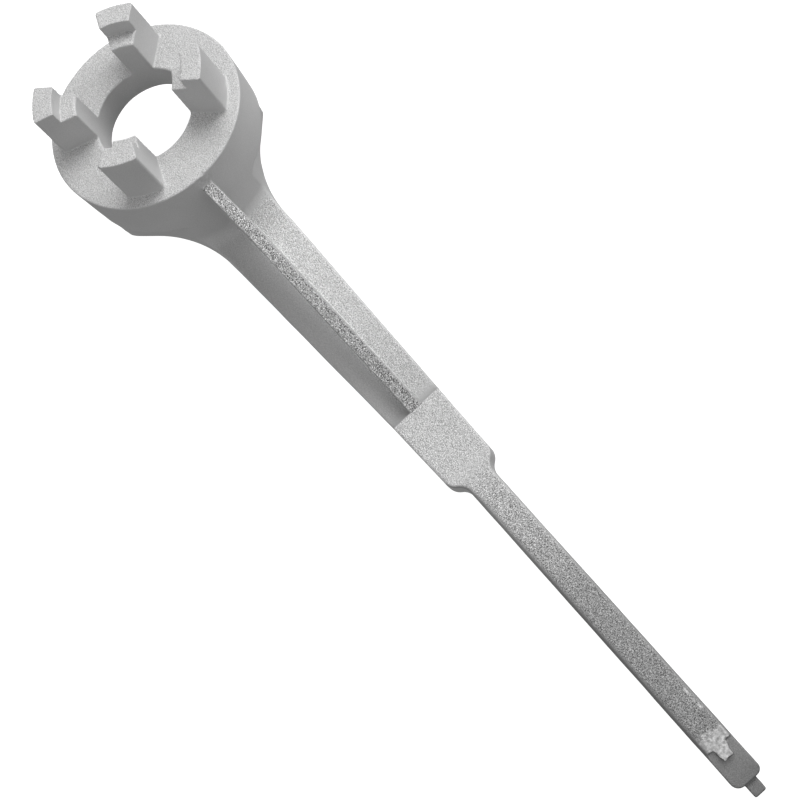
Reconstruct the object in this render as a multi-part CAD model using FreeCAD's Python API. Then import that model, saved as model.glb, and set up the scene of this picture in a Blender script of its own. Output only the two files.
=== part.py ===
import FreeCAD, Part
import math
import os

# Cast drum plug wrench. Millimetres. X runs along the handle, Z is up, and the wrench lies on its flat back.
# The drawing origin is below the centre of the ring face, and z = 0 is the flat back.
# Every solid is moved by CENTRE_SHIFT at the end, to put the origin at the bottom centre of the whole box.

os.makedirs("parts", exist_ok=True)
Vector = FreeCAD.Vector

# Head: ring, hole and recess
RING_RADIUS = 40.0
RING_TILT = 11.0            # degrees between the ring face and the flat back
RING_FACE_HEIGHT = 39.0     # ring face centre above the flat back
HOLE_RADIUS = RING_RADIUS * 0.50
WEB_DEPTH = RING_RADIUS * 0.31
RING_DEPTH = RING_RADIUS * 0.62
RECESS_RADIUS = RING_RADIUS * 0.80
WALL_DRAFT = 0.04           # the outer wall draws in by this much for each unit of depth

# Lugs: four, on one circle, each a low inner step and a tall outer prong
LUG_COUNT = 4
LUG_CENTRE_ANGLE = 56.0     # first lug, from the handle direction
LUG_WIDTH_ANGLE = 26.4
STEP_OUTER_RADIUS = RING_RADIUS * 0.665
PRONG_OUTER_RADIUS = RING_RADIUS * 0.875
STEP_HEIGHT = RING_RADIUS * 0.425
PRONG_HEIGHT = RING_RADIUS * 0.58
LUG_DRAFT = 0.5             # lug faces draw in by this much at the top

# Neck and arm
NECK_START_X = 9.0          # the plan of the neck is drawn from here, inside the ring
NECK_HOLE_RADIUS = 21.0     # the neck stands back a little from the hole
NECK_BACK_FLOOR_X = 13.5    # back face of the neck at the flat back
NECK_BACK_TOP_X = 10.0      # back face of the neck at the web
FLARE_RADIUS = 45.0
FLARE_TURN = 45.0           # degrees that the flare turns before it runs straight to the ring wall
FLARE_END_X = 54.9          # where the flare runs into the straight edge
ARM_HALF_WIDTH = 14.85      # half width at the end of the flare
PAD_HALF_WIDTH = 11.4       # half width where the pad starts
PAD_END_HALF_WIDTH = 10.8
FLANGE_THICKNESS = 6.5
RIB_WIDTH = 5.2
RIB_WALL_X = 40.3           # the top line of the rib meets the ring wall here
RIB_WALL_HEIGHT = 40.7
RIB_BLEND_RADIUS = 5.0      # concave blend between the rib and the ring wall
RIB_INNER_X = 30.0          # the rib is drawn from inside the ring wall

# Pad, bar and tip
RAMP_START_X = 140.5
PAD_START_X = 152.7
PAD_END_X = 181.0
PAD_HEIGHT = 16.5
UNDERSIDE_ROUND = 4.5       # lower edges of the pad, shoulder and bar
SHOULDER_RADIUS = 5.45      # both the convex and the concave stretch of the shoulder
BAR_HALF_WIDTH = 6.05
BAR_END_HEIGHT = 14.5       # height of the bar where the nose starts
BAR_LEFT_ROUND = 1.4        # upper edge on the +Y side
BAR_RIGHT_ROUND = 2.6       # upper edge on the -Y side
BAR_TIP_X = 306.9           # the ground flat near the end starts here
NOSE_START_X = 313.3
NOSE_STEP = 1.0             # the nose starts this much below the ground flat
NOSE_END_X = 329.2
NOSE_END_HEIGHT = 8.0
NOSE_LEFT_CORNER = 2.6      # corner in plan on the +Y side
NOSE_RIGHT_CORNER = 3.4     # corner in plan on the -Y side
RIDGE_END_X = 318.8         # the ground flat runs on as a narrow ridge to here
RIDGE_LEFT_Y = 2.6
RIDGE_RIGHT_Y = -2.4
TAB_LENGTH = 5.6
TAB_HALF_WIDTH = 2.5
TAB_HEIGHT = 6.0

FAR_RING_X = -RING_RADIUS * math.cos(math.radians(RING_TILT))
TAB_END_X = NOSE_END_X + TAB_LENGTH
CENTRE_SHIFT = Vector(-(FAR_RING_X + TAB_END_X) / 2.0, 0, 0)
BEYOND = 200.0              # longer than any feature that a cutting solid has to clear


def place_ring_shape(shape):
    """Move a shape drawn about the ring axis, with the ring face at z = 0, to its place on the wrench."""
    placed = shape.copy()
    placed.rotate(Vector(0, 0, 0), Vector(0, 1, 0), -RING_TILT)
    placed.translate(Vector(0, 0, RING_FACE_HEIGHT))
    return placed


def ring_cylinder(radius, top, bottom):
    """A cylinder about the ring axis, placed on the wrench."""
    return place_ring_shape(Part.makeCylinder(radius, top - bottom, Vector(0, 0, bottom)))


def ring_wall_cone(top, bottom):
    """The drafted outer form of the ring between two depths, placed on the wrench."""
    lower = RING_RADIUS + WALL_DRAFT * bottom
    upper = RING_RADIUS + WALL_DRAFT * top
    return place_ring_shape(Part.makeCone(lower, upper, top - bottom, Vector(0, 0, bottom)))


def prism(points, direction):
    """A solid swept from a closed outline of straight edges."""
    wire = Part.makePolygon(points + [points[0]])
    return Part.Face(wire).extrude(direction)


def save(name, shape):
    moved = shape.copy()
    moved.translate(CENTRE_SHIFT)
    moved.exportStep("parts/" + name + ".step")


def flare_point(side, degrees):
    """Point on the concave flare, where its outline has turned by the given angle from the arm."""
    angle = math.radians(degrees)
    x = FLARE_END_X - FLARE_RADIUS * math.sin(angle)
    y = ARM_HALF_WIDTH + FLARE_RADIUS * (1.0 - math.cos(angle))
    return Vector(x, side * y, 0)


def neck_corner(side):
    """End of the straight stretch that follows the flare, inside the ring wall."""
    start = flare_point(side, FLARE_TURN)
    rise = (start.x - NECK_START_X) * math.tan(math.radians(FLARE_TURN))
    return Vector(NECK_START_X, start.y + side * rise, 0)


def make_plan():
    """Plan of the neck and arm up to the pad, as a face at z = 0."""
    edges = []
    for side in (1, -1):
        start = flare_point(side, FLARE_TURN)
        middle = flare_point(side, FLARE_TURN / 2.0)
        flare_end = flare_point(side, 0.0)
        pad_start = Vector(PAD_START_X, side * PAD_HALF_WIDTH, 0)
        edges.append(Part.makeLine(neck_corner(side), start))
        edges.append(Part.Arc(start, middle, flare_end).toShape())
        edges.append(Part.makeLine(flare_end, pad_start))
    edges.append(Part.makeLine(neck_corner(1), neck_corner(-1)))
    pad_left = Vector(PAD_START_X, PAD_HALF_WIDTH, 0)
    pad_right = Vector(PAD_START_X, -PAD_HALF_WIDTH, 0)
    edges.append(Part.makeLine(pad_left, pad_right))
    return Part.Face(Part.Wire(Part.__sortEdges__(edges)))


def make_ring_plate():
    web = ring_wall_cone(0, -WEB_DEPTH)
    return web.cut(ring_cylinder(HOLE_RADIUS, BEYOND, -BEYOND))


def make_ring_rim():
    rim = ring_wall_cone(-WEB_DEPTH, -RING_DEPTH)
    return rim.cut(ring_cylinder(RECESS_RADIUS, BEYOND, -BEYOND))


def make_lug_part(index, inner, outer, inner_top, outer_top, height):
    """One sector of a lug, from its radial section, turned through the width of the lug."""
    start_angle = LUG_CENTRE_ANGLE + index * 360.0 / LUG_COUNT - LUG_WIDTH_ANGLE / 2.0
    section = [Vector(inner, 0, 0), Vector(outer, 0, 0), Vector(outer_top, 0, height)]
    section.append(Vector(inner_top, 0, height))
    face = Part.Face(Part.makePolygon(section + [section[0]]))
    sector = face.revolve(Vector(0, 0, 0), Vector(0, 0, 1), LUG_WIDTH_ANGLE)
    sector.rotate(Vector(0, 0, 0), Vector(0, 0, 1), start_angle)
    return place_ring_shape(sector)


def make_lug_step(index):
    top = HOLE_RADIUS + LUG_DRAFT
    return make_lug_part(index, HOLE_RADIUS, STEP_OUTER_RADIUS, top, STEP_OUTER_RADIUS, STEP_HEIGHT)


def make_lug_prong(index):
    top = PRONG_OUTER_RADIUS - LUG_DRAFT
    return make_lug_part(index, STEP_OUTER_RADIUS, PRONG_OUTER_RADIUS, STEP_OUTER_RADIUS, top, PRONG_HEIGHT)


def make_neck():
    """The whole neck: below the rim, flush with the ring wall, and up into the near side of the recess."""
    plan = make_plan()
    column = plan.extrude(Vector(0, 0, BEYOND))
    under_rim = ring_wall_cone(-RING_DEPTH, -BEYOND).common(column)
    in_recess = ring_cylinder(RECESS_RADIUS, -WEB_DEPTH, -RING_DEPTH).common(column)
    neck = under_rim.fuse(in_recess).removeSplitter()
    web_height = RING_FACE_HEIGHT - WEB_DEPTH
    slope = (NECK_BACK_TOP_X - NECK_BACK_FLOOR_X) / web_height
    low = Vector(NECK_BACK_FLOOR_X - slope * BEYOND, -BEYOND, -BEYOND)
    high = Vector(NECK_BACK_FLOOR_X + slope * BEYOND, -BEYOND, BEYOND)
    behind = prism([low, high, Vector(-BEYOND, -BEYOND, BEYOND), Vector(-BEYOND, -BEYOND, -BEYOND)],
                   Vector(0, 2 * BEYOND, 0))
    neck = neck.cut(behind)
    return neck.cut(ring_cylinder(NECK_HOLE_RADIUS, BEYOND, -BEYOND))


def make_side_box(side):
    """Everything outboard of the straight edge of the arm, on one side."""
    inner = side * ARM_HALF_WIDTH
    outer = side * BEYOND
    return Part.makeBox(2 * BEYOND, BEYOND - ARM_HALF_WIDTH, 2 * BEYOND,
                        Vector(-BEYOND, min(inner, outer), -BEYOND))


def make_arm_flange(neck_form):
    """Flat plate of the arm, from the neck to the pad."""
    flange = make_plan().extrude(Vector(0, 0, FLANGE_THICKNESS))
    behind = Part.makeBox(BEYOND, 2 * BEYOND, BEYOND, Vector(NECK_BACK_FLOOR_X - BEYOND, -BEYOND, -1))
    return flange.cut(behind).cut(neck_form)


def make_arm_rib(neck_form):
    """Upright rib: its top falls in a straight line from the ring wall to the pad."""
    corner = Vector(RIB_WALL_X, 0, RIB_WALL_HEIGHT)
    pad_edge = Vector(PAD_START_X, 0, PAD_HEIGHT)
    along = (pad_edge - corner).normalize()
    tilt = math.radians(RING_TILT)
    up_wall = Vector(-math.sin(tilt), 0, math.cos(tilt))
    half_angle = along.getAngle(up_wall) / 2.0
    reach = RIB_BLEND_RADIUS / math.tan(half_angle)
    inward = (along + up_wall).normalize()
    high = corner + up_wall * reach
    middle = corner + inward * (RIB_BLEND_RADIUS / math.sin(half_angle) - RIB_BLEND_RADIUS)
    low = corner + along * reach
    inner_high = Vector(RIB_INNER_X, 0, high.z)
    inner_foot = Vector(RIB_INNER_X, 0, FLANGE_THICKNESS)
    pad_foot = Vector(PAD_START_X, 0, FLANGE_THICKNESS)
    outline = [Part.Arc(high, middle, low).toShape(), Part.makeLine(low, pad_edge),
               Part.makeLine(pad_edge, pad_foot), Part.makeLine(pad_foot, inner_foot),
               Part.makeLine(inner_foot, inner_high), Part.makeLine(inner_high, high)]
    rib = Part.Face(Part.Wire(outline)).extrude(Vector(0, RIB_WIDTH, 0))
    rib.translate(Vector(0, -RIB_WIDTH / 2.0, 0))
    return rib.cut(neck_form)


def make_pad_ramp(side):
    """Concave rise from the flange to the pad, on one side of the rib."""
    run = PAD_START_X - RAMP_START_X
    rise = PAD_HEIGHT - FLANGE_THICKNESS
    radius = (run ** 2 + rise ** 2) / (2.0 * rise)
    middle_angle = math.asin(run / radius) / 2.0
    start = Vector(RAMP_START_X, 0, FLANGE_THICKNESS)
    middle = Vector(RAMP_START_X + radius * math.sin(middle_angle), 0,
                    FLANGE_THICKNESS + radius * (1.0 - math.cos(middle_angle)))
    top = Vector(PAD_START_X, 0, PAD_HEIGHT)
    foot = Vector(PAD_START_X, 0, FLANGE_THICKNESS)
    rise_arc = Part.Arc(start, middle, top).toShape()
    wire = Part.Wire([rise_arc, Part.makeLine(top, foot), Part.makeLine(foot, start)])
    ramp = Part.Face(wire).extrude(Vector(0, side * BEYOND, 0))
    ramp.translate(Vector(0, side * RIB_WIDTH / 2.0, 0))
    column = make_plan().extrude(Vector(0, 0, BEYOND))
    return ramp.common(column)


def round_lower_edges(solid, shortest):
    """Round the long edges that lie on the flat back."""
    lower = []
    for edge in solid.Edges:
        box = edge.BoundBox
        if box.ZMax < 0.01 and box.XLength > shortest:
            lower.append(edge)
    return solid.makeFillet(UNDERSIDE_ROUND, lower)


def make_grip_pad():
    outline = [Vector(PAD_START_X, -PAD_HALF_WIDTH, 0), Vector(PAD_END_X, -PAD_END_HALF_WIDTH, 0),
               Vector(PAD_END_X, PAD_END_HALF_WIDTH, 0), Vector(PAD_START_X, PAD_HALF_WIDTH, 0)]
    return round_lower_edges(prism(outline, Vector(0, 0, PAD_HEIGHT)), 10.0)


def shoulder_points(side):
    """Convex then concave arc from the pad to the bar: start, middles, turning point and end."""
    drop = (PAD_END_HALF_WIDTH - BAR_HALF_WIDTH) / 2.0
    turn = math.acos(1.0 - drop / SHOULDER_RADIUS)
    points = []
    for share in (0.0, 0.5, 1.0):
        angle = turn * share
        x = PAD_END_X + SHOULDER_RADIUS * math.sin(angle)
        y = PAD_END_HALF_WIDTH - SHOULDER_RADIUS * (1.0 - math.cos(angle))
        points.append(Vector(x, side * y, 0))
    end_x = PAD_END_X + 2.0 * SHOULDER_RADIUS * math.sin(turn)
    for share in (0.5, 0.0):
        angle = turn * share
        x = end_x - SHOULDER_RADIUS * math.sin(angle)
        y = BAR_HALF_WIDTH + SHOULDER_RADIUS * (1.0 - math.cos(angle))
        points.append(Vector(x, side * y, 0))
    return points


SHOULDER_END_X = shoulder_points(1)[-1].x


def make_bar_shoulder():
    edges = []
    for side in (1, -1):
        first, second, third, fourth, fifth = shoulder_points(side)
        edges.append(Part.Arc(first, second, third).toShape())
        edges.append(Part.Arc(third, fourth, fifth).toShape())
    edges.append(Part.makeLine(shoulder_points(1)[0], shoulder_points(-1)[0]))
    edges.append(Part.makeLine(shoulder_points(1)[-1], shoulder_points(-1)[-1]))
    plan = Part.Face(Part.Wire(Part.__sortEdges__(edges)))
    return round_lower_edges(plan.extrude(Vector(0, 0, PAD_HEIGHT)), 1.0)


def nose_profile():
    """Side outline of the nose, from the step below the ground flat to the end."""
    return [Vector(NOSE_START_X, -BAR_HALF_WIDTH, 0), Vector(NOSE_END_X, -BAR_HALF_WIDTH, 0),
            Vector(NOSE_END_X, -BAR_HALF_WIDTH, NOSE_END_HEIGHT),
            Vector(NOSE_START_X, -BAR_HALF_WIDTH, BAR_END_HEIGHT - NOSE_STEP)]


def make_nose_form():
    return prism(nose_profile(), Vector(0, 2 * BAR_HALF_WIDTH, 0))


def make_handle_bar():
    """Bar with a gently falling top and rounded long edges, and its last stretch with the ground flat."""
    profile = [Vector(SHOULDER_END_X, -BAR_HALF_WIDTH, 0), Vector(NOSE_START_X, -BAR_HALF_WIDTH, 0),
               Vector(NOSE_START_X, -BAR_HALF_WIDTH, BAR_END_HEIGHT),
               Vector(SHOULDER_END_X, -BAR_HALF_WIDTH, PAD_HEIGHT)]
    bar = round_lower_edges(prism(profile, Vector(0, 2 * BAR_HALF_WIDTH, 0)), 10.0)
    for side, radius in ((1, BAR_LEFT_ROUND), (-1, BAR_RIGHT_ROUND)):
        upper = []
        for edge in bar.Edges:
            box = edge.BoundBox
            on_side = abs(box.YMin - side * BAR_HALF_WIDTH) < 0.01
            if box.XLength > 10.0 and box.ZMin > BAR_END_HEIGHT - 0.5 and on_side:
                upper.append(edge)
        bar = bar.makeFillet(radius, upper)
    beyond_tip = Part.makeBox(BEYOND, BEYOND, BEYOND, Vector(BAR_TIP_X, -BEYOND / 2, -BEYOND / 2))
    return bar.cut(beyond_tip), bar.common(beyond_tip)


def make_bar_tip(stub):
    """Ground flat: the end of the bar, with the narrow ridge that runs on from it over the nose."""
    ridge_width = RIDGE_LEFT_Y - RIDGE_RIGHT_Y
    ridge = Part.makeBox(RIDGE_END_X - NOSE_START_X, ridge_width, BAR_END_HEIGHT,
                         Vector(NOSE_START_X, RIDGE_RIGHT_Y, 0))
    return stub.fuse(ridge.cut(make_nose_form())).removeSplitter()


def make_bar_nose():
    """Sloping nose from the ground flat to the end, with rounded corners in plan."""
    block = Part.makeBox(NOSE_END_X - NOSE_START_X, 2 * BAR_HALF_WIDTH, PAD_HEIGHT,
                         Vector(NOSE_START_X, -BAR_HALF_WIDTH, 0))
    for side, radius in ((1, NOSE_LEFT_CORNER), (-1, NOSE_RIGHT_CORNER)):
        corner = []
        for edge in block.Edges:
            box = edge.BoundBox
            upright = box.XLength < 0.01 and box.YLength < 0.01
            on_side = abs(box.YMin - side * BAR_HALF_WIDTH) < 0.01
            if upright and on_side and box.XMin > NOSE_END_X - 0.01:
                corner.append(edge)
        block = block.makeFillet(radius, corner)
    return round_lower_edges(make_nose_form(), 10.0).common(block)


def make_pry_tab():
    return Part.makeBox(TAB_LENGTH, 2 * TAB_HALF_WIDTH, TAB_HEIGHT, Vector(NOSE_END_X, -TAB_HALF_WIDTH, 0))


def main():
    save("ring_plate", make_ring_plate())
    save("ring_rim", make_ring_rim())
    for index in range(LUG_COUNT):
        save("lug_step_%d" % (index + 1), make_lug_step(index))
        save("lug_prong_%d" % (index + 1), make_lug_prong(index))
    neck = make_neck()
    left = neck.common(make_side_box(1))
    right = neck.common(make_side_box(-1))
    save("neck_flare_left", left)
    save("neck_flare_right", right)
    save("neck_core", neck.cut(left).cut(right))
    ring_form = ring_wall_cone(0, -BEYOND)
    save("arm_flange", make_arm_flange(ring_form))
    save("arm_rib", make_arm_rib(ring_form))
    save("pad_ramp_left", make_pad_ramp(1))
    save("pad_ramp_right", make_pad_ramp(-1))
    save("grip_pad", make_grip_pad())
    save("bar_shoulder", make_bar_shoulder())
    bar, stub = make_handle_bar()
    save("handle_bar", bar)
    save("bar_tip", make_bar_tip(stub))
    save("bar_nose", make_bar_nose())
    save("pry_tab", make_pry_tab())


main()
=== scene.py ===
import math

import bpy
import numpy as np
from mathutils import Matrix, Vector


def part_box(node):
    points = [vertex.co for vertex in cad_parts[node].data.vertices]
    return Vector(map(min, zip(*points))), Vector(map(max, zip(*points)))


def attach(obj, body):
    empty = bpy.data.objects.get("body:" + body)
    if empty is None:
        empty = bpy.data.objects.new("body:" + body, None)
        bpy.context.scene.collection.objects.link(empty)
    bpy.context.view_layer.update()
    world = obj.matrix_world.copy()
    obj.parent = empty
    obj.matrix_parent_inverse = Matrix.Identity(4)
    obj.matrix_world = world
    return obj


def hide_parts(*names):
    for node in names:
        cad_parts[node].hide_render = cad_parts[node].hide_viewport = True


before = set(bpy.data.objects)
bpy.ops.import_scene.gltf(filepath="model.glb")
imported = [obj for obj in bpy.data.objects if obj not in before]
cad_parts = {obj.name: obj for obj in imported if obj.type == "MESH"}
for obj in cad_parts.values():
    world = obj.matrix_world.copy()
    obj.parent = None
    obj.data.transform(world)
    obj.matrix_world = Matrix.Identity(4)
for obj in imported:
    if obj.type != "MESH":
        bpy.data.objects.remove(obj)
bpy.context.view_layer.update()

# Cast drum plug wrench. The shape below is in millimetres in the drawing frame: X along the handle, Z up
# from the flat back, and the origin under the centre of the ring face. The casting is one distance field,
# so its fillets and rounded edges are part of its geometry. A name that ends in EDGE is the rounding of an
# outside edge, and one that ends in FILLET is the rounding of an inside corner.

# Ring
RING_RADIUS = 40.0
RING_TILT = math.radians(11.0)
RING_FACE_HEIGHT = 39.0
RING_DEPTH = 24.8
RING_BACK_FILLET = 2.0
HOLE_RADIUS = 20.0
HOLE_EDGE = 0.7
WEB_DEPTH = 12.4
RECESS_RADIUS = 32.0
RECESS_FILLET = 2.0
RECESS_EDGE = 0.8
WALL_DRAFT = 0.04
WALL_FILLET = 5.0
FACE_EDGE = 0.7

# Lugs
LUG_ANGLES = [math.radians(56.0 + 90.0 * i) for i in range(4)]
LUG_HALF_ANGLE = math.radians(13.2)
LUG_SPLIT_RADIUS = 26.6
LUG_OUTER_RADIUS = 35.0
LUG_EDGE = 0.35
LUG_OUTER_EDGE = 1.1
LUG_ROOT_DEPTH = 2.0
LUG_ROOT_FILLET = 0.7
STEP_HEIGHT = 17.0
STEP_OVERLAP = 0.5
STEP_FILLET = 0.3
PRONG_HEIGHT = 23.2

# Neck and arm
SIDE_DRAFT = 0.012
NECK_BACK_FLOOR_X = 13.5
NECK_BACK_TOP_X = 10.0
NECK_BACK_EDGE = 1.0
NECK_HOLE_RADIUS = 21.0
FLARE_RADIUS = 45.0
FLARE_TURN = math.radians(45.0)
FLARE_END_X = 54.9
ARM_TOP_START_X = 28.0
ARM_HALF_WIDTH = 14.85
PAD_HALF_WIDTH = 11.4
PAD_END_HALF_WIDTH = 10.8
FLANGE_THICKNESS = 6.5

# Rib
RIB_HALF_WIDTH = 2.6
RIB_START_X = 36.0
RIB_WALL_X = 40.3
RIB_WALL_HEIGHT = 40.7
RIB_ROOT_HEIGHT = 2.0
RIB_MIDDLE_HEIGHT = 12.0
RIB_INTO_PAD = 0.4
RIB_EDGE = 0.35
RIB_END_EDGE = 0.6
RIB_FILLET = 0.4

# Pad and bar
RAMP_START_X = 140.5
RAMP_EDGE = 0.45
PAD_START_X = 152.7
PAD_END_X = 181.0
PAD_HEIGHT = 16.5
SHOULDER_RADIUS = 5.45
SHOULDER_END_X = 190.0
BAR_HALF_WIDTH = 6.05
BAR_END_HEIGHT = 14.5
BAR_TIP_X = 306.9

# Nose, ridge of the ground flat, and tab
NOSE_START_X = 313.3
NOSE_STEP = 1.0
NOSE_END_X = 329.2
NOSE_END_HEIGHT = 8.0
NOSE_LEFT_EDGE = 2.6
NOSE_RIGHT_EDGE = 3.4
NOSE_EDGE = 0.5
NOSE_FILLET = 0.4
RIDGE_END_X = 318.8
RIDGE_LEFT_Y = 2.6
RIDGE_RIGHT_Y = -2.4
RIDGE_EDGE = 0.3
RIDGE_END_EDGE = 0.6
TAB_END_X = 334.8
TAB_HALF_WIDTH = 2.5
TAB_HEIGHT = 6.0
TAB_ROOT = 2.0
TAB_EDGE = 0.6
TAB_FILLET = 0.5

# Values that change along X, as (x, value)
BOW = [(20, -0.95), (34, -0.65), (52, 0.1), (62, 0.35), (90, 0.45), (150, 0.75), (185, 0.7), (255, 0),
       (335, -0.9)]
LEFT_EDGE = [(30, 2.2), (55, 1.0), (138, 1.0), (150, 0.9), (154, 0.8), (185, 0.9), (194, 1.4), (320, 1.4)]
RIGHT_EDGE = [(30, 2.2), (55, 1.0), (138, 1.0), (150, 0.9), (154, 0.8), (184, 1.2), (196, 3.1), (320, 2.8)]
UNDERSIDE_EDGE = [(146.0, 0.8), (PAD_START_X + 2.0, 4.5)]
RIDGE_TAPER = [(NOSE_START_X, 0.5), (RIDGE_END_X, -0.4)]

# Unevenness of the casting, as (height, size, seed)
WAVES = [(0.09, 9.0, 1), (0.02, 3.5, 2)]
ROUGH_WAVES = [(0.22, 1.9, 3), (0.16, 1.1, 4)]
RAGGED_WAVE = (0.35, 1.7, 5)
ROUGH_HALF_WIDTH = 3.6
ROUGH_RANGE_X = (38, 155)
ROUGH_DEPTH = 1.4
WAVE_FADE = 2.0

# Grid that the surface is sampled on, as (start, step as a multiple of the grid's own); the last is the end
GRID_STEP = 0.6
GRID_X = [(-42.0, 1.0), (56.0, 1.4), (138.0, 1.0), (PAD_START_X, 1.0), (PAD_END_X, 1.0),
          (SHOULDER_END_X + 2.0, 2.2), (NOSE_START_X - 2.0, 1.0), (336.0, 1.0)]
GRID_Y = [(-42.0, 1.0), (42.0, 1.0)]
GRID_Z = [(-1.4, 1.0), (70.0, 1.0)]
GRID_SLAB = 24
SEAM_DEPTH = 0.5
SETTLE_REACH = 0.75

COS_TILT = math.cos(RING_TILT)
SIN_TILT = math.sin(RING_TILT)
MM = 0.001
# The tab's flat end is the high end of the CAD box along X, which gives the drawing origin in the row frame.
ORIGIN_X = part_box("pry_tab")[1].x / MM - TAB_END_X

PIECES = ["ring_plate", "ring_rim", "lug_step_1", "lug_step_2", "lug_step_3", "lug_step_4",
          "lug_prong_1", "lug_prong_2", "lug_prong_3", "lug_prong_4", "neck_core", "neck_flare_left",
          "neck_flare_right", "arm_flange", "arm_rib", "pad_ramp_left", "pad_ramp_right", "grip_pad",
          "bar_shoulder", "handle_bar", "bar_tip", "bar_nose", "pry_tab"]
LABEL = {name: i + 1 for i, name in enumerate(PIECES)}
SLOT_NODES = {"cast_head": PIECES[:13],
              "cast_arm": ["arm_flange", "pad_ramp_left", "pad_ramp_right", "grip_pad"],
              "cast_rough": ["arm_rib"],
              "cast_handle": PIECES[18:]}


# ---------------------------------------------------------------- distance fields

def join(a, b, radius):
    """Union with a round inside corner."""
    u = np.maximum(radius - a, 0)
    v = np.maximum(radius - b, 0)
    return np.maximum(radius, np.minimum(a, b)) - np.sqrt(u * u + v * v)


def meet(a, b, radius):
    """Intersection with a round outside edge."""
    u = np.maximum(radius + a, 0)
    v = np.maximum(radius + b, 0)
    return np.minimum(-radius, np.maximum(a, b)) + np.sqrt(u * u + v * v)


def to_ring(x, z):
    """Drawing coordinates to the ring's own: along its face towards the handle, and up its axis."""
    lift = z - RING_FACE_HEIGHT
    return x * COS_TILT + lift * SIN_TILT, lift * COS_TILT - x * SIN_TILT


def half_width(x):
    """Half width of the plan of neck, arm, pad, shoulder and bar."""
    bend = FLARE_RADIUS * math.sin(FLARE_TURN)
    run = np.clip(FLARE_END_X - x, 0, bend)
    flare = ARM_HALF_WIDTH + FLARE_RADIUS - np.sqrt(FLARE_RADIUS ** 2 - run ** 2)
    flare = flare + np.maximum(FLARE_END_X - bend - x, 0) * math.tan(FLARE_TURN)
    arm = np.interp(x, [FLARE_END_X, PAD_START_X, PAD_END_X],
                    [ARM_HALF_WIDTH, PAD_HALF_WIDTH, PAD_END_HALF_WIDTH])
    turn_x = (PAD_END_X + SHOULDER_END_X) / 2
    out = np.clip(x - PAD_END_X, 0, turn_x - PAD_END_X)
    back = np.clip(SHOULDER_END_X - x, 0, SHOULDER_END_X - turn_x)
    convex = PAD_END_HALF_WIDTH - SHOULDER_RADIUS + np.sqrt(SHOULDER_RADIUS ** 2 - out ** 2)
    concave = BAR_HALF_WIDTH + SHOULDER_RADIUS - np.sqrt(SHOULDER_RADIUS ** 2 - back ** 2)
    width = np.where(x < FLARE_END_X, flare, arm)
    width = np.where(x > PAD_END_X, convex, width)
    return np.where(x > turn_x, concave, width)


def along_handle(x, table):
    """Value at x from a table of (x, value), held beyond its ends."""
    return np.interp(x, [place for place, _ in table], [value for _, value in table])


def bow(x):
    """Sideways bow of the casting: its centre line wanders by less than a millimetre."""
    return along_handle(x, BOW)


def side_field(x, y, z):
    """Distance from the side faces, which lean in a little towards the top."""
    y = y - bow(x)
    step = 0.05
    slope = (half_width(x + step) - half_width(x - step)) / (2 * step)
    return (np.abs(y) - half_width(x) + SIDE_DRAFT * z) / np.sqrt(1 + slope ** 2)


def top_field(x, z):
    """Distance above the flange, pad ramp, pad, bar and nose."""
    run = PAD_START_X - RAMP_START_X
    rise = PAD_HEIGHT - FLANGE_THICKNESS
    radius = (run ** 2 + rise ** 2) / (2 * rise)
    hollow = radius - np.hypot(x - RAMP_START_X, z - FLANGE_THICKNESS - radius)
    low = np.where(x < RAMP_START_X, z - FLANGE_THICKNESS, hollow)
    fall = (PAD_HEIGHT - BAR_END_HEIGHT) / (NOSE_START_X - SHOULDER_END_X)
    high = z - PAD_HEIGHT + fall * np.maximum(x - SHOULDER_END_X, 0)
    return meet(low, high, RAMP_EDGE)


def nose_slope(x, z):
    """Distance above the sloping top of the nose."""
    across = NOSE_END_X - NOSE_START_X
    start = BAR_END_HEIGHT - NOSE_STEP
    down = start - NOSE_END_HEIGHT
    return ((x - NOSE_START_X) * down + (z - start) * across) / math.hypot(across, down)


def nose_field(x, y, z):
    """Distance above the step and slope of the nose, with the ridge of the ground flat left standing."""
    ragged = waves(x, y, 0 * z, [RAGGED_WAVE])
    taper = along_handle(x, RIDGE_TAPER)
    ridge = meet(y - RIDGE_LEFT_Y - taper, RIDGE_RIGHT_Y - y - taper, RIDGE_EDGE)
    ridge = meet(ridge, x - RIDGE_END_X, RIDGE_END_EDGE) + ragged
    slope = join(nose_slope(x, z), x - NOSE_START_X + ragged, NOSE_FILLET)
    return join(slope, ridge, NOSE_FILLET)


def lug_field(ring_x, y, ring_z):
    """The nearest of the four stepped lugs."""
    rho = np.hypot(ring_x, y)
    angle = np.arctan2(y, ring_x)
    quarter = math.pi / 2
    offset = (angle - LUG_ANGLES[0] + quarter / 2) % quarter - quarter / 2
    side = rho * np.sin(np.clip(np.abs(offset) - LUG_HALF_ANGLE, -1, 1))
    outer = rho - LUG_OUTER_RADIUS + SIDE_DRAFT * ring_z
    step = np.maximum(rho - LUG_SPLIT_RADIUS - STEP_OVERLAP, ring_z - STEP_HEIGHT)
    prong = meet(outer, LUG_SPLIT_RADIUS - rho, LUG_EDGE)
    prong = meet(prong, ring_z - PRONG_HEIGHT, LUG_EDGE)
    shape = meet(side, join(step, prong, STEP_FILLET), LUG_EDGE)
    outer_corner = meet(side, outer, LUG_OUTER_EDGE)
    return np.maximum(np.maximum(shape, outer_corner), -LUG_ROOT_DEPTH - ring_z)


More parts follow.
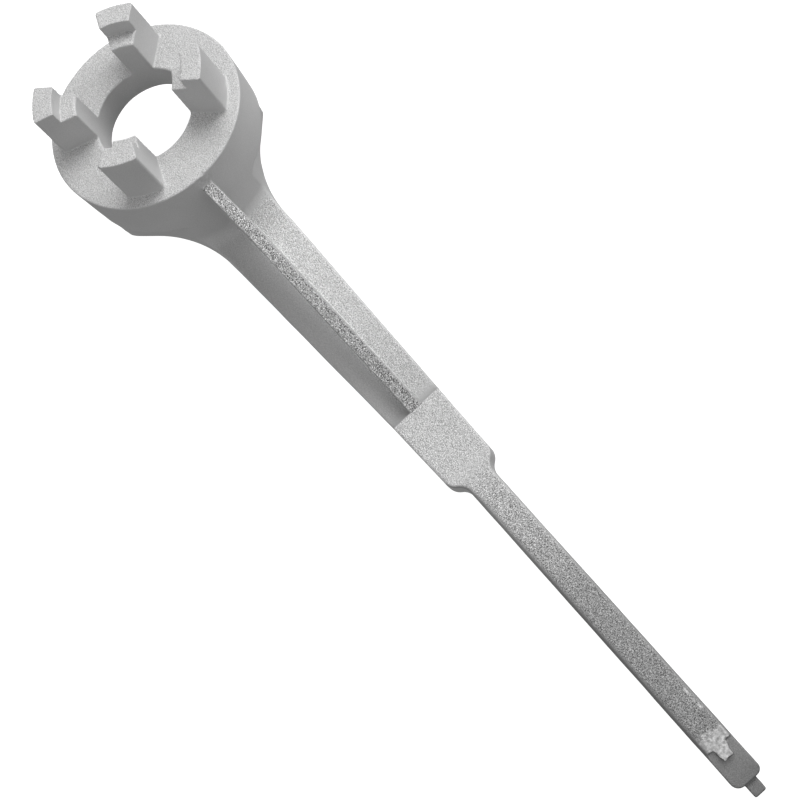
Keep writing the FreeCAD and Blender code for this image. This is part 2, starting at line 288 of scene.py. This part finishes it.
def rib_field(x, y, z):
    """The upright rib, which falls from the ring wall to the pad."""
    fall = math.atan2(RIB_WALL_HEIGHT - PAD_HEIGHT, PAD_START_X - RIB_WALL_X)
    top = (z - RIB_WALL_HEIGHT) * math.cos(fall) + (x - RIB_WALL_X) * math.sin(fall)
    draft = SIDE_DRAFT * (z - FLANGE_THICKNESS - RIB_MIDDLE_HEIGHT)
    rib = meet(np.abs(y - bow(x)) - RIB_HALF_WIDTH + draft, top, RIB_EDGE)
    rib = np.maximum(rib, np.maximum(RIB_START_X - x, RIB_ROOT_HEIGHT - z))
    return meet(rib, x - PAD_START_X - RIB_INTO_PAD, RIB_END_EDGE)


def tab_field(x, y, z):
    """The small tab at the tip."""
    tab = meet(np.abs(y - bow(x)) - TAB_HALF_WIDTH, z - TAB_HEIGHT, TAB_EDGE)
    tab = meet(tab, meet(-z, x - TAB_END_X, TAB_EDGE), TAB_EDGE)
    return np.maximum(tab, NOSE_END_X - TAB_ROOT - x)


def casting_field(x, y, z):
    """The whole casting: below zero inside."""
    ring_x, ring_z = to_ring(x, z)
    rho = np.hypot(ring_x, y)
    wall = rho - RING_RADIUS - WALL_DRAFT * ring_z
    back_lean = (NECK_BACK_FLOOR_X - NECK_BACK_TOP_X) / (RING_FACE_HEIGHT - WEB_DEPTH)
    back = NECK_BACK_FLOOR_X - back_lean * z - x
    side = meet(side_field(x, y, z), x - NOSE_END_X, np.where(y > 0, NOSE_LEFT_EDGE, NOSE_RIGHT_EDGE))
    plan = meet(side, -z, along_handle(x, UNDERSIDE_EDGE))
    behind = meet(plan, back, NECK_BACK_EDGE)
    below = join(-RING_DEPTH - ring_z, behind, RING_BACK_FILLET)
    sides = join(wall, np.maximum(top_field(x, z), ARM_TOP_START_X - x), WALL_FILLET)
    upper_edge = np.where(y > 0, along_handle(x, LEFT_EDGE), along_handle(x, RIGHT_EDGE))
    body = meet(sides, below, upper_edge)
    body = meet(body, nose_field(x, y - bow(x), z), NOSE_EDGE)
    body = meet(body, ring_z, FACE_EDGE)
    body = join(body, lug_field(ring_x, y, ring_z), LUG_ROOT_FILLET)
    body = meet(body, np.where(ring_z > -WEB_DEPTH, HOLE_RADIUS, NECK_HOLE_RADIUS) - rho, HOLE_EDGE)
    recess = meet(rho - RECESS_RADIUS, ring_z + WEB_DEPTH, RECESS_FILLET)
    recess = meet(recess, -behind, RECESS_FILLET)
    body = meet(body, -recess, RECESS_EDGE)
    body = join(body, rib_field(x, y, z), RIB_FILLET)
    return join(body, tab_field(x, y, z), TAB_FILLET)


# ---------------------------------------------------------------- unevenness of the sand casting

def hashed(ix, iy, iz, seed):
    """Repeatable value between -1 and 1 for a lattice point; the large numbers only mix its bits."""
    mixed = ix * 73856093 ^ iy * 19349663 ^ iz * 83492791 ^ seed * 2654435761
    mixed = (mixed ^ (mixed >> 13)) * 1274126177
    return ((mixed ^ (mixed >> 16)) & 65535) / 32767.5 - 1.0


def lattice_noise(x, y, z, size, seed):
    """Smooth noise between -1 and 1, with features of the given size."""
    cells = [np.floor(v / size).astype(np.int64) for v in (x, y, z)]
    shares = [v / size - c for v, c in zip((x, y, z), cells)]
    blends = [s * s * (3 - 2 * s) for s in shares]
    total = 0
    for corner in range(8):
        picks = [(corner >> axis) & 1 for axis in range(3)]
        weight = 1.0
        for pick, blend in zip(picks, blends):
            weight = weight * (blend if pick else 1 - blend)
        total = total + weight * hashed(*[c + p for c, p in zip(cells, picks)], seed)
    return total


def waves(x, y, z, table):
    """Sum of noises from a table of (height, size, seed)."""
    return sum(height * lattice_noise(x, y, z, size, seed) for height, size, seed in table)


def unevenness(x, y, z):
    """Outward displacement: slow waviness, and a rough strip along the top of the rib. It fades to nothing
    at the flat back and at the end of the tab, so that the wrench keeps its height and length."""
    fall = (RIB_WALL_HEIGHT - PAD_HEIGHT) / (PAD_START_X - RIB_WALL_X)
    below_top = RIB_WALL_HEIGHT - fall * (x - RIB_WALL_X) - z
    on_rib = (np.abs(y) < ROUGH_HALF_WIDTH) & (x > ROUGH_RANGE_X[0]) & (x < ROUGH_RANGE_X[1])
    strip = np.clip(1 - below_top / ROUGH_DEPTH, 0, 1) * on_rib
    flat_back = np.clip(z / WAVE_FADE, 0, 1)
    tab_end = np.clip((TAB_END_X - x) / WAVE_FADE, 0, 1)
    return (waves(x, y, z, WAVES) + strip * waves(x, y, z, ROUGH_WAVES)) * flat_back * tab_end


def surface_field(p):
    """The casting with its unevenness, at a list of points."""
    x, y, z = p[:, 0], p[:, 1], p[:, 2]
    return casting_field(x, y, z) - unevenness(x, y, z)


def gradient(p):
    """Slope of surface_field at a list of points."""
    reach = 0.04
    parts = []
    for axis in range(3):
        shift = np.zeros(3)
        shift[axis] = reach
        parts.append((surface_field(p + shift) - surface_field(p - shift)) / (2 * reach))
    return np.stack(parts, 1)


# ---------------------------------------------------------------- pieces

def piece_labels(x, y, z):
    """Number of the piece that each point inside the casting belongs to."""
    wall_slack, rib_slack, step_slack = 0.02, 0.5, 0.6
    ring_x, ring_z = to_ring(x, z)
    rho = np.hypot(ring_x, y)
    inside_wall = rho < RING_RADIUS + WALL_DRAFT * ring_z + wall_slack
    shape = np.broadcast(x, y, z).shape
    out = np.full(shape, LABEL["arm_flange"], np.int8)

    def put(mask, name):
        np.copyto(out, LABEL[name], where=np.broadcast_to(mask, shape))

    raised = z > FLANGE_THICKNESS
    across = y - bow(x)
    put(raised & (x > RAMP_START_X) & (across > 0), "pad_ramp_left")
    put(raised & (x > RAMP_START_X) & (across < 0), "pad_ramp_right")
    put(raised & (np.abs(across) < RIB_HALF_WIDTH + rib_slack), "arm_rib")
    put(x > PAD_START_X, "grip_pad")
    put(x > PAD_END_X, "bar_shoulder")
    put(x > SHOULDER_END_X, "handle_bar")
    put(x > BAR_TIP_X, "bar_tip")
    put((x > NOSE_START_X + step_slack) & (nose_slope(x, z) < 0), "bar_nose")
    put(x > NOSE_END_X, "pry_tab")
    neck = inside_wall & (ring_z < -WEB_DEPTH)
    put(neck, "neck_core")
    put(neck & (y > ARM_HALF_WIDTH), "neck_flare_left")
    put(neck & (y < -ARM_HALF_WIDTH), "neck_flare_right")
    put(neck & (rho > RECESS_RADIUS) & (ring_z > -RING_DEPTH), "ring_rim")
    put(inside_wall & (ring_z >= -WEB_DEPTH), "ring_plate")
    above = inside_wall & (ring_z > 0)
    angle = np.arctan2(y, ring_x)
    for index, centre in enumerate(LUG_ANGLES):
        near = np.cos(angle - centre) > math.cos(math.pi / 4)
        put(above & near & (rho < LUG_SPLIT_RADIUS), "lug_step_%d" % (index + 1))
        put(above & near & (rho >= LUG_SPLIT_RADIUS), "lug_prong_%d" % (index + 1))
    return out


def grid_line(stops, step):
    """Grid positions from (start, multiple of step) stretches; the last entry is the end."""
    line = []
    for (start, multiple), (end, _) in zip(stops[:-1], stops[1:]):
        count = max(1, int(round((end - start) / (step * multiple))))
        line.extend(start + (end - start) * np.arange(count) / count)
    line.append(stops[-1][0])
    return np.array(line)


def crossing_positions(lines, field, labels, active):
    """For each active cell, the mean of the points where its edges cross the surface."""
    ci, cj, ck = active
    total = np.zeros((len(ci), 3))
    count = np.zeros(len(ci))
    spare = np.zeros((len(ci), 3))
    spare_count = np.zeros(len(ci))
    for axis in range(3):
        others = [a for a in range(3) if a != axis]
        for corner in range(4):
            start = [ci, cj, ck]
            start[others[0]] = start[others[0]] + (corner & 1)
            start[others[1]] = start[others[1]] + (corner >> 1)
            end = list(start)
            end[axis] = end[axis] + 1
            label_a = labels[tuple(start)]
            label_b = labels[tuple(end)]
            value_a = field[tuple(start)]
            value_b = field[tuple(end)]
            point_a = np.stack([lines[a][start[a]] for a in range(3)], 1)
            point_b = np.stack([lines[a][end[a]] for a in range(3)], 1)
            outer = (label_a == 0) != (label_b == 0)
            gap = np.where(outer, value_a - value_b, 1.0)
            share = np.where(outer, value_a / gap, 0.5)[:, None]
            point = point_a + (point_b - point_a) * share
            total += point * outer[:, None]
            count += outer
            inner = (label_a != label_b) & ~outer
            spare += point * inner[:, None]
            spare_count += inner
    on_surface = count > 0
    total[on_surface] /= count[on_surface][:, None]
    total[~on_surface] = spare[~on_surface] / spare_count[~on_surface][:, None]
    return total, on_surface


def settle(points, free, reach):
    """Moves points along the gradient until they lie on the surface, at most the given reach."""
    passes, least_size = 3, 0.15
    start = points[free]
    p = start.copy()
    for _ in range(passes):
        slope = gradient(p)
        size = np.maximum((slope ** 2).sum(1), least_size)
        p = p - slope * (surface_field(p) / size)[:, None]
        p = start + np.clip(p - start, -reach, reach)
    points[free] = p
    return points


def build_casting(step):
    """Returns {piece: (vertices, quads, triangles, normals)}. Neighbouring pieces share the vertices of their
    seam, and the seam's outermost faces are dished inwards, so that they stay below the surface."""
    xs, ys, zs = (grid_line(stops, step) for stops in (GRID_X, GRID_Y, GRID_Z))
    field = np.empty((len(xs), len(ys), len(zs)), np.float32)
    labels = np.empty(field.shape, np.int8)
    for first in range(0, len(xs), GRID_SLAB):
        part = slice(first, first + GRID_SLAB)
        x = xs[part][:, None, None]
        y = ys[None, :, None]
        z = zs[None, None, :]
        field[part] = casting_field(x, y, z)
        labels[part] = piece_labels(x, y, z)
    labels[field >= 0] = 0

    cells = tuple(n - 1 for n in labels.shape)
    low = np.full(cells, 127, np.int8)
    high = np.zeros(cells, np.int8)
    for i in (0, 1):
        for j in (0, 1):
            for k in (0, 1):
                corner = labels[i:i + cells[0], j:j + cells[1], k:k + cells[2]]
                np.minimum(low, corner, out=low)
                np.maximum(high, corner, out=high)
    active = np.nonzero(low != high)
    number = np.full(cells, -1, np.int64)
    number[active] = np.arange(len(active[0]))
    points, on_surface = crossing_positions((xs, ys, zs), field, labels, active)
    points = settle(points, on_surface, SETTLE_REACH * step)
    normals = np.zeros_like(points)
    slope = gradient(points[on_surface])
    normals[on_surface] = slope / np.maximum(np.linalg.norm(slope, axis=1), 1e-9)[:, None]

    quads = {name: [] for name in PIECES}
    triangles = {name: [] for name in PIECES}
    for axis in range(3):
        b, c = (axis + 1) % 3, (axis + 2) % 3
        lower = [slice(None)] * 3
        upper = [slice(None)] * 3
        lower[axis] = slice(0, -1)
        upper[axis] = slice(1, None)
        for other in (b, c):
            lower[other] = slice(1, -1)
            upper[other] = slice(1, -1)
        label_a = labels[tuple(lower)]
        label_b = labels[tuple(upper)]
        where = np.nonzero(label_a != label_b)
        corners = []
        for shift_b, shift_c in ((0, 0), (1, 0), (1, 1), (0, 1)):
            at = list(where)
            at[b] = at[b] + shift_b
            at[c] = at[c] + shift_c
            corners.append(number[tuple(at)])
        ring = np.stack(corners, 1)
        first = label_a[where]
        second = label_b[where]
        shallow = (first > 0) & (second > 0) & (on_surface[ring].sum(1) > 2)
        middle = points[ring[shallow]].mean(1) - SEAM_DEPTH * step * normals[ring[shallow]].mean(1)
        centre = np.full(len(ring), -1)
        centre[shallow] = len(points) + np.arange(len(middle))
        points = np.concatenate([points, middle])
        normals = np.concatenate([normals, np.zeros_like(middle)])
        on_surface = np.concatenate([on_surface, np.zeros(len(middle), bool)])
        for name in PIECES:
            for own, order in ((first == LABEL[name], 1), (second == LABEL[name], -1)):
                quads[name].append(ring[own & ~shallow][:, ::order])
                dished = ring[own & shallow][:, ::order]
                tips = centre[own & shallow]
                for side in range(4):
                    triangles[name].append(np.stack([dished[:, side], dished[:, (side + 1) % 4], tips], 1))

    result = {}
    for name in PIECES:
        four = np.concatenate(quads[name])
        three = np.concatenate(triangles[name])
        used, flat = np.unique(np.concatenate([four.ravel(), three.ravel()]), return_inverse=True)
        result[name] = (points[used], flat[:four.size].reshape(-1, 4), flat[four.size:].reshape(-1, 3),
                        normals[used])
    return result


def make_piece(name, vertices, quads, triangles, normals):
    """The piece as a mesh object in metres. A vertex without a normal of its own gets Blender's."""
    mesh = bpy.data.meshes.new(name)
    placed = (vertices + np.array([ORIGIN_X, 0, 0])) * MM
    corners = np.concatenate([quads.ravel(), triangles.ravel()]).astype(np.int32)
    starts = np.concatenate([np.arange(0, quads.size, 4), np.arange(quads.size, corners.size, 3)])
    mesh.vertices.add(len(placed))
    mesh.vertices.foreach_set("co", placed.astype(np.float32).ravel())
    mesh.loops.add(len(corners))
    mesh.loops.foreach_set("vertex_index", corners)
    mesh.polygons.add(len(starts))
    mesh.polygons.foreach_set("loop_start", starts.astype(np.int32))
    mesh.update(calc_edges=True)
    mesh.validate()
    mesh.shade_smooth()
    lengths = np.linalg.norm(normals, axis=1)
    own = np.zeros(len(mesh.vertices) * 3, np.float32)
    mesh.vertex_normals.foreach_get("vector", own)
    own = own.reshape(-1, 3)
    chosen = np.where(lengths[:, None] > 0.5, normals, own)
    mesh.normals_split_custom_set_from_vertices(chosen.tolist())
    piece = bpy.data.objects.new("skin_" + name, mesh)
    bpy.context.scene.collection.objects.link(piece)
    return piece


# ---------------------------------------------------------------- materials

METALLIC = 0.2
ROUGHNESS_RANGE = (0.60, 0.76)
TONE_RANGE = (0.97, 1.03)
# Upward part of the surface normal: from edge to flat top, and over the bar's rounded edges
FACE_UP = (0.70, 0.97)
ROUNDED_FROM = (0.05, 0.30)
ROUNDED_TO = (0.66, 0.92)
# Share of the tone that the rounded edges lose to painted shade, on the -Y and on the +Y side
EDGE_SHADE_SHARE = (0.42, 0.24)
# Bump heights, in millimetres
SAND_HEIGHT = 0.30
PIT_HEIGHT = 0.10
WRINKLE_HEIGHT = 0.60

# Places in the drawing frame where the metal's tone or grain changes, and by how much
FLAT_START_X = (307.2, 308.2)
FLAT_HEIGHT = (13.75, 14.05)
FLAT_WOBBLE = 1.2
FLAT_TONES = (0.26, 0.76)
CRINKLE_RISE_X = (PAD_END_X, 196.0)
CRINKLE_FALL_X = (308.5, 309.5)
CRINKLE_AT_PAD = 0.35
WORN_X = (289.5, 300.5)
WORN_Y = (3.2, 4.5)
WORN_FADE = 0.4
WORN_GAIN = 0.35
WORN_PART = (0.47, 0.53)
# Painted shade and light on the -Y side of the flange, where the rib throws its shadow: most of the grain is
# taken away there, and the tone is darkened out to the edge and lightened near the rib
RIB_SHADE_Y = (-3.2, -2.4)
RIB_SHADE_GRAIN = 0.15
FLANGE_SHADING_Y = (-13.0, -2.6)
FLANGE_SHADING_FACTORS = (0.66, 1.25)
FLANGE_SHADING_END_Y = (-2.4, 2.4)
FLANGE_SHADING_FROM_X = (42.0, 66.0)
FLANGE_SHADING_TO_X = (124.0, 150.0)

# Change of tone along the handle, as (x, factor)
RIB_TONES = [(40, 1.18), (85, 1.0), (150, 0.87)]
# In the arm's table, the dip from x 138 to 152.4 is painted shade on the steep top of the pad ramp, which
# faces away from the light; the pad beyond is lighter again
ARM_TONES_WITH_RAMP_SHADE = [(45, 1.055), (62, 1.21), (100, 1.15), (138, 1.02), (147, 0.93), (152.4, 0.76), (152.9, 1.10)]
BAR_TONES = [(181, 1.10), (205, 1.06), (245, 0.73), (300, 0.64), (318, 0.53), (334, 0.34)]


class Nodes:
    """Short ways to add shader nodes to one material."""

    def __init__(self, name):
        self.material = bpy.data.materials.new(name)
        self.material.use_nodes = True
        self.tree = self.material.node_tree
        self.shader = self.tree.nodes["Principled BSDF"]
        self.place = self.tree.nodes.new("ShaderNodeTexCoord").outputs["Object"]

    def feed(self, socket, value):
        """Links a socket to another, or sets it to a plain value."""
        if isinstance(value, bpy.types.NodeSocket):
            self.tree.links.new(value, socket)
        else:
            socket.default_value = value

    def noise(self, size, detail, rough, distortion=0.0, across=1.0):
        """Noise whose largest features are about the given size, in millimetres, and longer by the factor
        across in the Y direction. It is turned so that no flat face lies along a plane of its lattice."""
        turned = self.tree.nodes.new("ShaderNodeMapping")
        turned.inputs["Scale"].default_value = (1.0, 1.0 / across, 1.0)
        turned.inputs["Rotation"].default_value = (0.5, 0.35, 0.2)
        self.tree.links.new(self.place, turned.inputs["Vector"])
        node = self.tree.nodes.new("ShaderNodeTexNoise")
        node.inputs["Scale"].default_value = 1 / (size * MM)
        node.inputs["Detail"].default_value = detail
        node.inputs["Roughness"].default_value = rough
        node.inputs["Distortion"].default_value = distortion
        self.tree.links.new(turned.outputs["Vector"], node.inputs["Vector"])
        return node.outputs["Fac"]

    def math(self, operation, a, b=0.0):
        node = self.tree.nodes.new("ShaderNodeMath")
        node.operation = operation
        self.feed(node.inputs[0], a)
        self.feed(node.inputs[1], b)
        return node.outputs[0]

    def times(self, a, b):
        return self.math("MULTIPLY", a, b)

    def rest_of(self, value):
        """One less the value."""
        return self.math("SUBTRACT", 1.0, value)

    def span(self, value, low, high, to_low=0.0, to_high=1.0):
        """Maps low..high to to_low..to_high, held at both ends."""
        node = self.tree.nodes.new("ShaderNodeMapRange")
        self.feed(node.inputs["Value"], value)
        node.inputs["From Min"].default_value = low
        node.inputs["From Max"].default_value = high
        node.inputs["To Min"].default_value = to_low
        node.inputs["To Max"].default_value = to_high
        return node.outputs["Result"]

    def spread(self, noise, to_low, to_high):
        """Maps the part of its range that a noise mostly keeps to."""
        return self.span(noise, 0.3, 0.7, to_low, to_high)

    def along_x(self, x, limits, to_low=0.0, to_high=1.0):
        """Span between two places along the drawing's X."""
        low, high = ((limit + ORIGIN_X) * MM for limit in limits)
        return self.span(x, low, high, to_low, to_high)

    def at_mm(self, value, limits, to_low=0.0, to_high=1.0):
        """Span between two places along Y or Z, in millimetres."""
        low, high = (limit * MM for limit in limits)
        return self.span(value, low, high, to_low, to_high)

    def parts(self, vector):
        node = self.tree.nodes.new("ShaderNodeSeparateXYZ")
        self.tree.links.new(vector, node.inputs[0])
        return node.outputs

    def facing(self):
        """The three parts of the surface normal."""
        geometry = self.tree.nodes.new("ShaderNodeNewGeometry")
        return self.parts(geometry.outputs["True Normal"])

    def bump(self, height, distance, strength, below=None):
        """Bump with the given height in millimetres, on top of the one below."""
        node = self.tree.nodes.new("ShaderNodeBump")
        node.inputs["Distance"].default_value = distance * MM
        self.feed(node.inputs["Strength"], strength)
        self.tree.links.new(height, node.inputs["Height"])
        if below is not None:
            self.tree.links.new(below, node.inputs["Normal"])
        return node.outputs["Normal"]

    def tint(self, noise, amount):
        """Factor about 1 that follows the noise, with the given contrast."""
        return self.math("ADD", 1.0, self.times(self.spread(noise, -1.0, 1.0), amount))

    def grey(self, value):
        node = self.tree.nodes.new("ShaderNodeCombineColor")
        for socket in node.inputs[:3]:
            self.tree.links.new(value, socket)
        return node.outputs["Color"]


def toned(n, level, x, table):
    """The tone, changed along the handle by a table of (x, factor)."""
    level = n.times(level, table[0][1])
    for (x0, f0), (x1, f1) in zip(table[:-1], table[1:]):
        level = n.times(level, n.along_x(x, (x0, x1), 1.0, f1 / f0))
    return level


def painted_edge_shade(n, level, sideways, upward):
    """The bar's tone with painted shade on its rounded upper edges, most on the -Y one, which faces away from
    the light.
    """
    rounded = n.times(n.span(upward, *ROUNDED_FROM), n.span(upward, *ROUNDED_TO, 1.0, 0.0))
    loss = n.times(rounded, n.span(sideways, -0.3, 0.3, *EDGE_SHADE_SHARE))
    return n.times(level, n.rest_of(loss))


def ground_flat(n, x, z, up):
    """Mask of the bright ground flat near the end of the bar, with a ragged start."""
    wobble = n.spread(n.noise(size=2.4, detail=2.0, rough=0.5), -FLAT_WOBBLE * MM, FLAT_WOBBLE * MM)
    start = n.along_x(n.math("ADD", x, wobble), FLAT_START_X)
    return n.times(n.times(start, n.at_mm(z, FLAT_HEIGHT)), up)


def worn_streak(n, x, y):
    """Mask of the few bright flecks near the bar's +Y edge."""
    worn = n.span(n.noise(size=1.4, detail=2.0, rough=0.6), *WORN_PART)
    for span, socket, (low, high) in ((n.along_x, x, WORN_X), (n.at_mm, y, WORN_Y)):
        worn = n.times(worn, span(socket, (low, low + WORN_FADE)))
        worn = n.times(worn, span(socket, (high - WORN_FADE, high), 1.0, 0.0))
    return worn


def painted_flange_shading(n, level, x, y):
    """The tone with painted shading on the -Y side of the flange, where the rib throws its shadow: painted
    shade darkens it out to its edge, and painted light lightens it near the rib.
    """
    factor = n.at_mm(y, FLANGE_SHADING_Y, *FLANGE_SHADING_FACTORS)
    near_ends = n.math("ADD", n.along_x(x, FLANGE_SHADING_FROM_X, 1.0, 0.0), n.along_x(x, FLANGE_SHADING_TO_X))
    plain_part = n.math("MAXIMUM", near_ends, n.at_mm(y, FLANGE_SHADING_END_Y))
    factor = n.math("ADD", factor, n.times(plain_part, n.rest_of(factor)))
    return n.times(level, factor)


def cast_aluminium(name, tone, grain, along=None, crinkle=0.0, bar=False, rib_shade_side=False):
    """Sand-cast aluminium. grain is the contrast of the fine grain on surfaces that face up, and crinkle the
    contrast of the wrinkles there. along lists (x, factor) for a change of tone along the handle. bar adds
    what only the bar has: painted shade on its rounded upper edges, the ground flat near its end and the worn
    streak. The last flag paints shade where the rib's shadow falls on the -Y side of the flange: it takes
    most of the grain away there, darkens the tone out to the edge and lightens it near the rib."""
    n = Nodes(name)
    n.shader.inputs["Metallic"].default_value = METALLIC
    _, sideways, upward = n.facing()
    x, y, z = n.parts(n.place)
    up = n.span(upward, *FACE_UP)
    rough_part = grained = up
    level = n.spread(n.noise(size=22.0, detail=3.0, rough=0.5), *(tone * share for share in TONE_RANGE))
    if along:
        level = toned(n, level, x, along)
    if bar:
        # Painted shade on the bar's rounded upper edges, by how far they turn from the top
        level = painted_edge_shade(n, level, sideways, upward)
        rough_part = n.times(up, n.along_x(x, CRINKLE_FALL_X, 1.0, 0.0))
        rough_part = n.times(rough_part, n.along_x(x, CRINKLE_RISE_X, CRINKLE_AT_PAD, 1.0))
    # Painted shade where the rib's shadow falls on the -Y side: less grain in colour and bump, the tone
    # darker out at the edge and lighter near the rib
    if rib_shade_side:
        past_rib = n.along_x(x, (RAMP_START_X, PAD_START_X))
        open_side = n.at_mm(y, RIB_SHADE_Y, RIB_SHADE_GRAIN, 1.0)
        grained = n.times(up, n.math("MAXIMUM", open_side, past_rib))
        level = painted_flange_shading(n, level, x, y)
    sand = n.noise(size=0.31, detail=1.0, rough=0.5, across=1.3)
    level = n.times(level, n.tint(sand, n.span(grained, 0.0, 1.0, grain * 0.08, grain * 0.5)))
    normal = n.bump(sand, SAND_HEIGHT, n.span(grained, 0.0, 1.0, 0.06, grain))
    pits = n.noise(size=0.9, detail=2.0, rough=0.5)
    normal = n.bump(pits, PIT_HEIGHT, n.span(grained, 0.0, 1.0, 0.08, grain), normal)
    if crinkle:
        wrinkle = n.noise(size=0.29, detail=1.0, rough=0.5, distortion=0.4, across=1.9)
        level = n.times(level, n.tint(wrinkle, n.times(rough_part, crinkle)))
        normal = n.bump(wrinkle, WRINKLE_HEIGHT, rough_part, normal)
    if bar:
        ground = ground_flat(n, x, z, up)
        bright = n.spread(n.noise(size=1.3, detail=3.0, rough=0.6), *FLAT_TONES)
        level = n.math("ADD", n.times(level, n.rest_of(ground)), n.times(ground, bright))
        level = n.math("ADD", level, n.times(worn_streak(n, x, y), WORN_GAIN))
    n.feed(n.shader.inputs["Base Color"], n.grey(level))
    fine = n.noise(size=0.55, detail=2.0, rough=0.6)
    n.feed(n.shader.inputs["Roughness"], n.spread(fine, *ROUGHNESS_RANGE))
    n.feed(n.shader.inputs["Normal"], normal)
    return n.material


FINISHES = {
    "cast_head": cast_aluminium("cast_head_skin", tone=0.56, grain=0.75),
    "cast_arm": cast_aluminium("cast_arm_skin", tone=0.53, grain=1.1, along=ARM_TONES_WITH_RAMP_SHADE, rib_shade_side=True),
    "cast_rough": cast_aluminium("cast_rough_skin", tone=0.47, grain=0.60, along=RIB_TONES, crinkle=1.1),
    "cast_handle": cast_aluminium("cast_handle_skin", tone=0.53, grain=0.50, along=BAR_TONES, crinkle=0.75,
                                  bar=True),
}

for piece_name, (vertices, quads, triangles, normals) in build_casting(GRID_STEP).items():
    slot = next(slot for slot, members in SLOT_NODES.items() if piece_name in members)
    piece = make_piece(piece_name, vertices, quads, triangles, normals)
    piece.data.materials.append(FINISHES[slot])
    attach(piece, "root")
    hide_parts(piece_name)


# ---------------------------------------------------------------- floor, light and camera

FLOOR_HALF = 40.0
FLOOR_DROP = 0.0006
FLOOR_GREY = 0.30
LIGHT_DISTANCE = 1.6
LIGHT_SIZE = 0.9
# Name: (azimuth, elevation in degrees), power
LIGHTS = {"key": ((140, 50), 11.8), "side": ((100, 25), 10.3)}
SKY_BLEND = 0.25
SKY_LOW = 0.22
SKY_HIGH = 0.53
CAMERA_PLACE = (0.14701, 0.00465, 0.55418)
CAMERA_TURN = (11.091, 10.816, 48.597)
CAMERA_LENS = 67.5


def make_floor():
    """A wide pale floor just below the wrench, which throws no light back on it."""
    mesh = bpy.data.meshes.new("floor")
    half = FLOOR_HALF
    corners = [(-half, -half, 0), (half, -half, 0), (half, half, 0), (-half, half, 0)]
    mesh.from_pydata(corners, [], [(0, 1, 2, 3)])
    floor = bpy.data.objects.new("floor", mesh)
    floor.location.z = -FLOOR_DROP
    bpy.context.scene.collection.objects.link(floor)
    material = bpy.data.materials.new("pale_floor")
    material.use_nodes = True
    shader = material.node_tree.nodes["Principled BSDF"]
    shader.inputs["Base Color"].default_value = (FLOOR_GREY, FLOOR_GREY, FLOOR_GREY, 1)
    shader.inputs["Roughness"].default_value = 1.0
    shader.inputs["Emission Color"].default_value = (1, 1, 1, 1)
    shader.inputs["Emission Strength"].default_value = 1.0
    mesh.materials.append(material)
    floor.visible_diffuse = False
    floor.visible_glossy = False


def make_light(name, direction, power):
    """A soft round light that faces the middle of the wrench from the given direction."""
    data = bpy.data.lights.new(name, "AREA")
    data.shape = "DISK"
    data.size = LIGHT_SIZE
    data.energy = power
    light = bpy.data.objects.new(name, data)
    azimuth, elevation = (math.radians(v) for v in direction)
    flat = math.cos(elevation)
    spot = (math.cos(azimuth) * flat, math.sin(azimuth) * flat, math.sin(elevation))
    light.location = [v * LIGHT_DISTANCE for v in spot]
    light.rotation_euler = light.location.to_track_quat("Z", "Y").to_euler()
    bpy.context.scene.collection.objects.link(light)


def make_world():
    """A studio that is bright overhead and dim below the table."""
    world = bpy.data.worlds.new("studio")
    bpy.context.scene.world = world
    world.use_nodes = True
    tree = world.node_tree
    place = tree.nodes.new("ShaderNodeTexCoord")
    split = tree.nodes.new("ShaderNodeSeparateXYZ")
    tree.links.new(place.outputs["Generated"], split.inputs[0])
    ramp = tree.nodes.new("ShaderNodeMapRange")
    ramp.inputs["From Min"].default_value = -SKY_BLEND
    ramp.inputs["From Max"].default_value = SKY_BLEND
    ramp.inputs["To Min"].default_value = SKY_LOW
    ramp.inputs["To Max"].default_value = SKY_HIGH
    tree.links.new(split.outputs[2], ramp.inputs["Value"])
    tree.links.new(ramp.outputs["Result"], tree.nodes["Background"].inputs["Strength"])
    tree.nodes["Background"].inputs["Color"].default_value = (1, 1, 1, 1)


def make_camera():
    """The camera at the photograph's viewing angle."""
    data = bpy.data.cameras.new("camera")
    data.sensor_width = 36.0
    data.lens = CAMERA_LENS
    data.clip_start = 0.01
    camera = bpy.data.objects.new("camera", data)
    camera.location = CAMERA_PLACE
    camera.rotation_euler = [math.radians(v) for v in CAMERA_TURN]
    bpy.context.scene.collection.objects.link(camera)
    bpy.context.scene.camera = camera


make_floor()
for light_name, (light_direction, light_power) in LIGHTS.items():
    make_light(light_name, light_direction, light_power)
make_world()
make_camera()
bpy.context.scene.view_settings.view_transform = "Standard"
bpy.context.scene.view_settings.look = "None"
